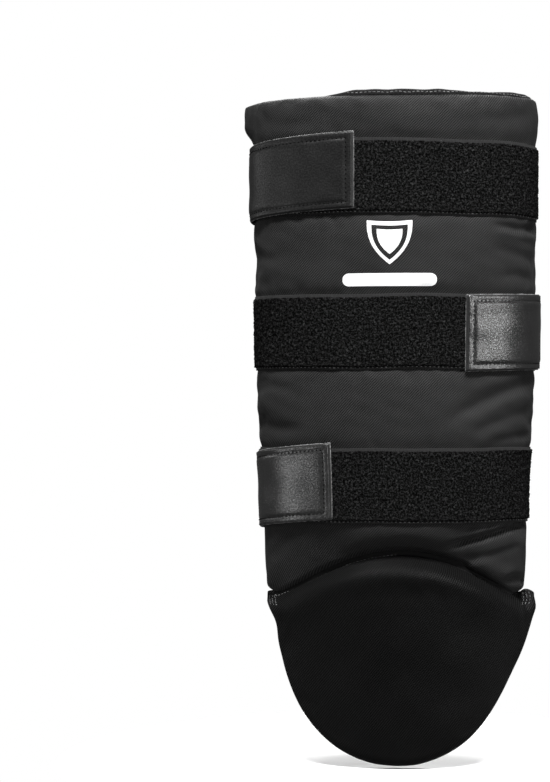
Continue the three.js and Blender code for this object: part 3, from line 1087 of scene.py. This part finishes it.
def tab_curl(end, across, half_height, seed):
    """The free end lifts a little, unevenly."""
    corner = 0.5 + 0.5 * np.sin(across / half_height * 1.7 + seed)
    return 0.7 * MM * corner * (1 - smooth(end, 0, 16 * MM))


def make_tab_face(strap):
    angle, across, end, z = tab_grid(strap, FACE_SETBACK, FACE_HALF, step=0.9 * MM)
    s = arc_of(angle)
    edge = np.minimum(FACE_HALF - np.abs(across), end)
    groove = 0.35 * MM * ridge(edge - STITCH_INSET, 0.45 * MM)
    pillow = 0.4 * MM * smooth(edge, STITCH_INSET, STITCH_INSET + 2.6 * MM)
    wave = ripple(22 * MM, strap.seed, s, across) * 0.16 * MM
    fray = ripple(3 * MM, strap.seed + 1, s, across) * 0.10 * MM * (1 - smooth(edge, 0, 3 * MM))
    curl = tab_curl(end, across, FACE_HALF, strap.seed)
    outer = around_leg(angle, z, FACE_OUT[0] - groove + pillow + wave + fray + curl)
    inner = around_leg(angle, z, FACE_OUT[1] + curl)
    uv = stack(s, across + strap.seed)
    looks = [leather(f"{strap.name}_tab_leather", strap.grey, strap.gloss), LOOKS["rim"]]
    return slab_of(f"{strap.name}_tab_face_leather", outer, inner, uv, looks, rim_zone=1)


def make_tab_backing(strap):
    angle, across, end, z = tab_grid(strap, 0, TAB_HALF)
    curl = tab_curl(end, across, TAB_HALF, strap.seed)
    outer, inner = (around_leg(angle, z, out + curl) for out in BACKING_OUT)
    uv = stack(arc_of(angle), across + strap.seed + 1)
    looks = [LOOKS["backing"], LOOKS["rim"]]
    return slab_of(f"{strap.name}_tab_backing_leather", outer, inner, uv, looks, rim_zone=1)


def make_tab(strap):
    name, body = strap.name, f"{strap.name}_tab"
    fit_on(make_tab_face(strap), body, "coated_tab", f"{name}_tab_face")
    fit_on(make_tab_backing(strap), body, "coated_tab", f"{name}_tab_backing")
    line = tab_edge_path(strap, FACE_SETBACK, FACE_HALF, STITCH_INSET, STITCH_OUT)
    thread = stitches(f"{name}_tab_stitches", [line], "dark_thread", *TAB_STITCH, strap.seed)
    path, up = tab_edge_path(strap, 0, TAB_HALF, 0.0, FRINGE_OUT)
    fringe = ragged_cord(f"{name}_tab_raw_edges", path, up, "raw_edge", 0.24 * MM, strap.seed)
    for piece, slot in ((thread, "tape"), (fringe, "coated_tab")):
        lift_with_tab(piece, strap)
        fit_on(piece, body, slot)


def lift_with_tab(piece, strap):
    """Threads and raw edges follow the curl of the tab's free end."""
    co = coordinates(piece)
    angle, z = pad_angle(co), co[:, 2]
    across = z - strap.rear - climb(strap, angle)
    end = np.maximum(arc_of(np.abs(angle)) - arc_of(strap.free), 0)
    curl = tab_curl(end, across, TAB_HALF, strap.seed)
    set_coordinates(piece, co + outward(angle, z) * curl[:, None])


def make_hook_patch(strap):
    """A field of small hooks on a woven base, under the tab."""
    angle, across, _, z = tab_grid(strap, 5 * MM, TAB_HALF - 5 * MM, start=84 * DEG, step=0.9 * MM)
    rng = np.random.default_rng(strap.seed + 30)
    spike = np.zeros(z.shape)
    spike[1:-1:2, 1:-1:2] = 1
    height = 0.75 * MM * spike * rng.uniform(0.6, 1.0, spike.shape)
    hooked = spike * rng.uniform(0.1, 0.5, spike.shape) * MM
    upper = around_leg(angle, z, HOOKS_OUT[0])
    lower = around_leg(angle, z + hooked, HOOKS_OUT[1] - height)
    uv = stack(arc_of(angle), across)
    patch = slab_of(f"{strap.name}_hook_patch_hooks", upper, lower, uv, [LOOKS["hook"]])
    fit_on(patch, f"{strap.name}_tab", "hook", f"{strap.name}_hook_patch")


def elastic_out(turn):
    return (-6 + 9.5 * smooth(turn, 122 * DEG, 190 * DEG)) * MM


def ribs(across):
    return 0.18 * MM * np.cos(across / ELASTIC_RIB * 2 * np.pi)


def strap_layer(name, strap, turn, across, z, outs, looks, rim_zone=0, grain=0):
    """A layer of a strap. turn runs from the sewn rear edge round behind the calf to the tab."""
    layers = [around_leg(-strap.side * turn, z, out) for out in outs]
    layers.append(stack(arc_of(turn), across + grain))
    if strap.side > 0:
        layers = [layer[:, ::-1] for layer in layers]
    return slab_of(f"{strap.name}_{name}", *layers, [LOOKS[look] for look in looks], rim_zone=rim_zone)


def bend_between(piece, strap, angles, out):
    """Bakes the piece's placement into its mesh. The places round the leg at the two angles are worked out
    but not used.
    """
    start, end = (around_leg(strap.side * angle * DEG, strap.rear, out).tolist() for angle in angles)
    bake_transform(piece)
    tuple(start)
    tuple(end)


def bend_at_hinge(piece, strap):
    bend_between(piece, strap, (124, 116.5), 3.5 * MM)


def make_elastic(strap):
    turn_end = 2 * np.pi - TAB_START
    turns = even_angles(119.4 * DEG, turn_end, 2.0 * MM)
    turn, across = grid(turns, np.linspace(-ELASTIC_HALF, ELASTIC_HALF, 49))
    sag = ripple(70 * MM, strap.seed, arc_of(turn), across)
    sag = 0.5 * MM * sag * smooth(turn, 130 * DEG, 150 * DEG) * smooth(turn_end - turn, 0, 0.5)
    middle = elastic_out(turn) + sag
    waist = 1 - 0.03 * np.sin(np.pi * (turn - turns[0]) / (turn_end - turns[0])) ** 2
    z = strap.rear + across * waist
    outs = [middle + side * (ELASTIC_WEB + ribs(across)) for side in (1, -1)]
    band = strap_layer("elastic_ribbed", strap, turn, across, z, outs, ["elastic"])
    bend_at_hinge(band, strap)
    fit(band, "elastic", f"{strap.name}_elastic")


def make_tab_end(strap):
    """A leather strip folded over the joint between the elastic and the tab, with two rows of stitches."""
    turns = even_angles(2 * np.pi - 126 * DEG, 2 * np.pi - 110 * DEG, 1.3 * MM)
    turn, across = grid(turns, np.linspace(-STRIP_HALF, STRIP_HALF, 36))
    z = strap.rear + climb(strap, np.minimum(np.abs(2 * np.pi - turn), TAB_START)) + across
    arc = arc_of(turn)
    edge = np.minimum(np.minimum(arc - arc.min(), arc.max() - arc), TAB_HALF - np.abs(across))
    outs = (STRIP_OUT[0] + 0.55 * MM * rounded(edge, 1.0 * MM), STRIP_OUT[1])
    cap = strap_layer("tab_end_strip", strap, turn, across, z, outs, ["backing", "rim"], rim_zone=1, grain=3)
    bend_at_hinge(cap, strap)
    fit(cap, "coated_tab")
    rows = []
    for place in (124.3 * DEG, 111.8 * DEG):
        across = np.linspace(-TAB_HALF + 2 * MM, TAB_HALF - 2 * MM, 30)
        height = strap.rear + climb(strap, min(place, TAB_START)) + across
        rows.append(leg_line(-strap.side * (2 * np.pi - place + 0 * height), height, STRIP_STITCH_OUT))
    thread = stitches(f"{strap.name}_tab_end_stitches", rows, "grey_thread", seed=strap.seed + 5)
    bend_at_hinge(thread, strap)
    fit(thread, "tape")


def make_sewn_end(strap):
    """The folded tape that sews the elastic to the rear edge of the pad."""
    turns = even_angles(118.6 * DEG, 128 * DEG, 1.4 * MM)
    turn, across = grid(turns, np.linspace(-SEWN_HALF, SEWN_HALF, 30))
    arc = arc_of(turn)
    inset = np.minimum(arc.max() - arc + 0.3 * MM, SEWN_HALF - np.abs(across) + 0.2 * MM)
    full = rounded(inset, 1.2 * MM)
    middle = elastic_out(turn)
    outs = [middle + side * (0.7 * MM + 0.55 * MM * full) for side in (1, -1)]
    fold = strap_layer("sewn_end_tape", strap, turn, across, strap.rear + across, outs, ["tape"])
    rows = []
    for place in (123.2 * DEG, 126.4 * DEG):
        height = np.linspace(-23 * MM, 23 * MM, 30) + strap.rear
        rows.append(leg_line(-strap.side * place + 0 * height, height, elastic_out(place) + 1.25 * MM))
    thread = stitches(f"{strap.name}_sewn_end_stitches", rows, "grey_thread", seed=strap.seed + 9)
    for piece in (fold, thread):
        bend_between(piece, strap, (-121, -127.5), -6 * MM)
        fit(piece, "tape")


# ---- instep flap

FLAP_ROWS = 46
FLAP_COLS = 61
FLAP_CURVE = 5.2  # of its front across the foot, at the seam, and how much flatter it is at the tip
FLAP_OPENING = 2.2
FLAP_FRONT = 48  # mm in front of the leg's axis at the seam, and how far the tip lies behind that
FLAP_SLOPE = 7
FLAP_CLOTH = {"pressure": 2.0, "growth": 0.008, "most": 1.2 * MM}


def flap_outline(level):
    """Half width and middle of the flap at each height, a little to one side as it hangs."""
    t = np.clip((FLAP_CORNER - level) / (FLAP_CORNER - FLAP_TIP), 0, 1)
    half = FLAP_HALF_WIDTH * np.sqrt(1 - t * t) * (1 - 0.35 * t * (1 - t) ** 1.2)
    middle = 0.8 * MM + 3.8 * MM * ridge(level + 20 * MM, 34 * MM)
    tuck = 1.2 * MM * ridge(level + 19 * MM, 9 * MM)
    return half - tuck, middle + tuck


def flap_point(x, z, depth, seam):
    """A place in the flap, which meets the pad's own curve at the seam."""
    down = np.clip((SEAM_HEIGHT - z) / (SEAM_HEIGHT - FLAP_TIP), 0, 1)
    curve = FLAP_CURVE - FLAP_OPENING * down
    slope = 2 * curve * x
    length = np.sqrt(1 + slope**2)
    y = -(FLAP_FRONT - FLAP_SLOPE * down) * MM + curve * x * x
    on_pad = -half_depth(z) * np.sqrt(np.maximum(1 - (x / half_width(z)) ** 2, 0))
    y = y + (on_pad - y) * (1 - smooth(seam, 0, 40 * MM))
    return stack(x - depth * slope / length, y + depth / length, z + 0 * x)


def nearest(x, z, points):
    """The distance from each place to the nearest of some points."""
    return np.hypot(x[..., None] - points[:, 0], z[..., None] - points[:, 1]).min(-1)


def flap_grid():
    """Places across the front, heights, and distances to the outline and to the seam."""
    down = np.sin(np.linspace(0, 86.5 * DEG, FLAP_ROWS))[::-1, None]
    side = np.sin(np.linspace(-90, 90, FLAP_COLS) * DEG)[None]
    side = 0.35 * side + 0.65 * np.linspace(-1, 1, FLAP_COLS)[None]
    lift = (5 * ridge(side - 0.94, 0.06) + 3 * ridge(side + 0.95, 0.07)) * MM
    level = FLAP_TIP * down + lift * (1 - down) ** 6
    half, middle = flap_outline(level)
    x = middle + side * half * FLAP_SPREAD
    arch = seam_over(x) * (1 - down) ** 2
    z = level + arch - 0.4 * MM * (1 - side**2) * down**8 - VALLEY_GAP
    outline = stack(edge_loop(x), edge_loop(z))
    step = np.roll(outline, -1, 0) - outline
    fine = np.concatenate([outline + step * t for t in (0, 0.25, 0.5, 0.75)])
    return x, z, nearest(x, z, fine), nearest(x, z, stack(x[-1], z[-1]))


def flap_puckers(x, z):
    """Small gathers where the flap's corners are sewn."""
    total = np.zeros_like(x)
    for corner, strength in (((93 * MM, -1 * MM), 1.0), ((-88 * MM, -2 * MM), 0.6)):
        away = np.hypot(x - corner[0], z - corner[1])
        turn = np.arctan2(z - corner[1], x - corner[0])
        total += strength * 0.9 * MM * np.sin(turn * 9) * ridge(away - 7 * MM, 5 * MM)
        total += strength * 1.2 * MM * ridge(away, 9 * MM)
    return total


def make_instep_cover():
    x, z, away, seam = flap_grid()
    edge = rounded(away, 6.5 * MM)
    roll = 0.06 * smooth(seam, 0, 2 * MM) + 0.94 * smooth(seam, 2.4 * MM, 11.5 * MM)
    half = FLAP_THICKNESS / 2
    angle = np.arcsin(np.clip(x / half_width(z), -1, 1))
    middle = half + (seam_depth(angle) - half) * (1 - smooth(seam, 0, 20 * MM))
    puffed = 0.8 * MM * smooth(away, 4 * MM, 22 * MM) + 0.7 * MM * ridge(seam - 13 * MM, 8 * MM)
    front = middle * (1 - np.minimum(edge, roll)) - puffed * np.minimum(edge, roll) - flap_puckers(x, z)
    back = middle + (FLAP_THICKNESS - 1.2 * MM - middle) * edge
    pinned = np.ones(x.shape, bool)
    pinned[2:-3, 2:-2] = False
    outer = inflate(flap_point(x, z, front, seam), pinned, **FLAP_CLOTH)
    inner = flap_point(x, z, back, seam)
    cover = pad_of("instep_cover_padded", outer, inner, stack(x, z), LOOKS["flap"])
    subdivide(cover)
    co = coordinates(cover)
    soft = ripple(40 * MM, 51, co[:, 0], co[:, 2]) * 0.22 * MM * smooth(-normals(cover)[:, 1], 0, 0.4)
    set_coordinates(cover, co + normals(cover) * soft[:, None])
    fit_across_seam(cover, "instep_twill", "instep_cover", "instep_foam")
    return cover


def make_instep_lining():
    x, z, away, seam = flap_grid()
    x, z = (values.mean() + (values - values.mean()) * 0.955 for values in (x, z))
    edge = rounded(away, 3 * MM)
    groove = ridge(away - LINING_SEWN, 1.2 * MM) * 0.6 * MM
    wave = ripple(30 * MM, 61, x, z) * 0.3 * MM
    depth = FLAP_THICKNESS - LINING_DEPTH
    outer = flap_point(x, z, depth - 0.9 * MM * edge, seam)
    inner = flap_point(x, z, depth + 1.4 * MM * edge - groove + wave * smooth(away, 0, 10 * MM), seam)
    lining = pad_of("instep_lining_knit", outer, inner, stack(x, z), LOOKS["lining"])
    fit_across_seam(lining, "lining", "instep_lining")


WEB_END = 100 * DEG
WEB_HALF_HEIGHT = 4 * MM
WEB_THICKNESS = 1.0 * MM


def make_seam_web():
    """The strip of cloth in the bottom of the valley between the two pads."""
    heights = np.linspace(-WEB_HALF_HEIGHT, WEB_HALF_HEIGHT, 7)
    angle, across = grid(even_angles(-WEB_END, WEB_END, 3 * MM), heights)
    z = seam_line(angle) + across
    depth = seam_depth(angle) - 0.4 * MM
    outer, inner = (around_leg(angle, z, -depth - thick) for thick in (0, WEB_THICKNESS))
    uv = stack(arc_of(angle), across)
    web = slab_of("seam_web_tape", outer, inner, uv, [LOOKS["tape"]])
    fit_across_seam(web, "tape", "seam_web")


def surface_tree(piece):
    polygons = [list(p.vertices) for p in piece.data.polygons]
    return BVHTree.FromPolygons([Vector(p) for p in coordinates(piece)], polygons)


def drop_on(tree, x, z, lift):
    """Places on the front of a surface, lifted off it, with the surface's normals there."""
    back = Vector((0, 1, 0))
    points, ups = [], []
    for spot in zip(x, z):
        place, normal, _, _ = tree.ray_cast(Vector((spot[0], -0.2, spot[1])), back)
        if place is None:
            continue
        if normal.dot(back) > 0:
            normal = -normal
        points.append(place + normal * lift)
        ups.append(normal)
    return np.array(points), np.array(ups)


def make_flap_stitches(cover):
    """The row of topstitching along the flap, just below the seam, and the sewn corners."""
    tree = surface_tree(cover)
    x = np.linspace(-84 * MM, 90 * MM, 120)
    rows = [drop_on(tree, x, seam_over(x - 4 * MM) - 2.2 * MM, 0.05 * MM)]
    t = np.linspace(-1, 1, 12)
    for side, middle in ((1, 90), (-1, -84)):
        for k in range(3):
            x = (middle - side * k * 2.2) * MM + side * 1.5 * MM * (1 - t * t)
            rows.append(drop_on(tree, x, -3 * MM + 4.5 * MM * t, 0.0))
    thread = stitches("instep_topstitching", rows, "grey_thread", 1.7 * MM, 0.9 * MM, 0.2 * MM, 71)
    fit_across_seam(thread, "tape")


FOOT_HALF_WIDTH = 70 * MM
FOOT_HALF_DEPTH = 52 * MM
FOOT_STRAP_HALF = 12 * MM
FOOT_STRAP_WEB = 0.6 * MM  # half of its thickness


def make_foot_strap():
    turns = np.linspace(76, 284, 120) * DEG
    turn, across = grid(turns, np.linspace(-FOOT_STRAP_HALF, FOOT_STRAP_HALF, 25))
    end = np.minimum(turn - turns[0], turns[-1] - turn)
    tuck = 1.2 * MM * (1 - smooth(end, 0, 12 * DEG))
    layers = []
    for side in (1, -1):
        out = side * (FOOT_STRAP_WEB + ribs(across))
        x = (FOOT_HALF_WIDTH + out - tuck) * np.sin(turn)
        y = -2 * MM - (FOOT_HALF_DEPTH + out) * np.cos(turn)
        layers.append(stack(x, y, FOOT_MIDDLE + across))
    uv = stack(turn * 60 * MM, across)
    strap = slab_of("foot_strap_elastic", *layers, uv, [LOOKS["elastic"]])
    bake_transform(strap)
    fit(strap, "elastic", "foot_strap")


# ---- printed mark


def shield_rings(width, height, count, inner_share, rings):
    """Rings of a plain shield: slightly dipped top, straight upper sides and a soft point."""
    t = np.linspace(0, 1, 40)
    top = stack(t - 0.5, 0.5 - 0.03 * np.sin(np.pi * t))
    side = stack(0.5 - 0.5 * t**2.6, 0.5 - t)[1:]
    other = (side * [-1, 1])[::-1][1:-1]
    outline = np.concatenate([top, side, other]) * [width, height]
    closed = np.concatenate([outline, outline[:1]])
    length = running_length(closed)
    even = interpolate(np.linspace(0, length[-1], count, endpoint=False), length, closed)
    return np.stack([even * share for share in np.linspace(1, inner_share, rings)])


def bar_grid(width, height, cols, rows):
    """A bar with rounded ends, as a grid of places."""
    x = np.sin(np.linspace(-90, 90, cols) * DEG) * width / 2
    end = np.clip((width / 2 - np.abs(x)) / (height / 2), 0, 1)
    tall = height / 2 * (0.08 + 0.92 * np.sqrt(1 - (1 - end) ** 2))
    v = np.linspace(1, -1, rows)
    return stack(x[None] + 0 * v[:, None], tall[None] * v[:, None])


PRINT_MIDDLE = -3.5 * MM
PRINT_LIFT = 0.14 * MM


def make_print(cover):
    """A generic shield over a rounded bar, printed in white between the two upper bands."""
    tree = surface_tree(cover)
    shapes = (  # places, height of the middle, and whether they close into a ring
        (shield_rings(30 * MM, 29 * MM, 160, 0.8, 5), 234.5 * MM, True),
        (shield_rings(17 * MM, 16.5 * MM, 120, 0.02, 9), 235 * MM, True),
        (bar_grid(62 * MM, 8.5 * MM, 90, 9), 210 * MM, False),
    )
    points, faces, flat = [], [], []
    for places, height, closed in shapes:
        spots = (places + np.array((PRINT_MIDDLE, height))).reshape(-1, 2)
        index = sum(len(p) for p in points) + numbered(places)
        if closed:
            index = np.concatenate([index, index[:, :1]], axis=1)
        points.append(drop_on(tree, spots[:, 0], spots[:, 1], PRINT_LIFT)[0])
        flat.append(spots)
        faces.append(quads(index, flip=True))
    faces = np.concatenate(faces)
    mark = build("printed_mark", np.concatenate(points), faces, [LOOKS["ink"]], np.concatenate(flat))
    fit_on(mark, "root", "twill")


# ---- assembly

place_camera()
place_studio()
shin_cover = make_shin_cover()
make_shin_lining()
make_top_facing()
make_binding(-1, "left")
make_binding(1, "right")
for order, (band_name, band_middle) in enumerate(BANDS.items()):
    make_loop_band(band_name, band_middle, 80 + 3 * order)
for strap_facts in STRAPS:
    make_tab(strap_facts)
    make_hook_patch(strap_facts)
    make_elastic(strap_facts)
    make_tab_end(strap_facts)
    make_sewn_end(strap_facts)
instep_cover = make_instep_cover()
make_instep_lining()
make_seam_web()
make_flap_stitches(instep_cover)
make_foot_strap()
make_print(shin_cover)
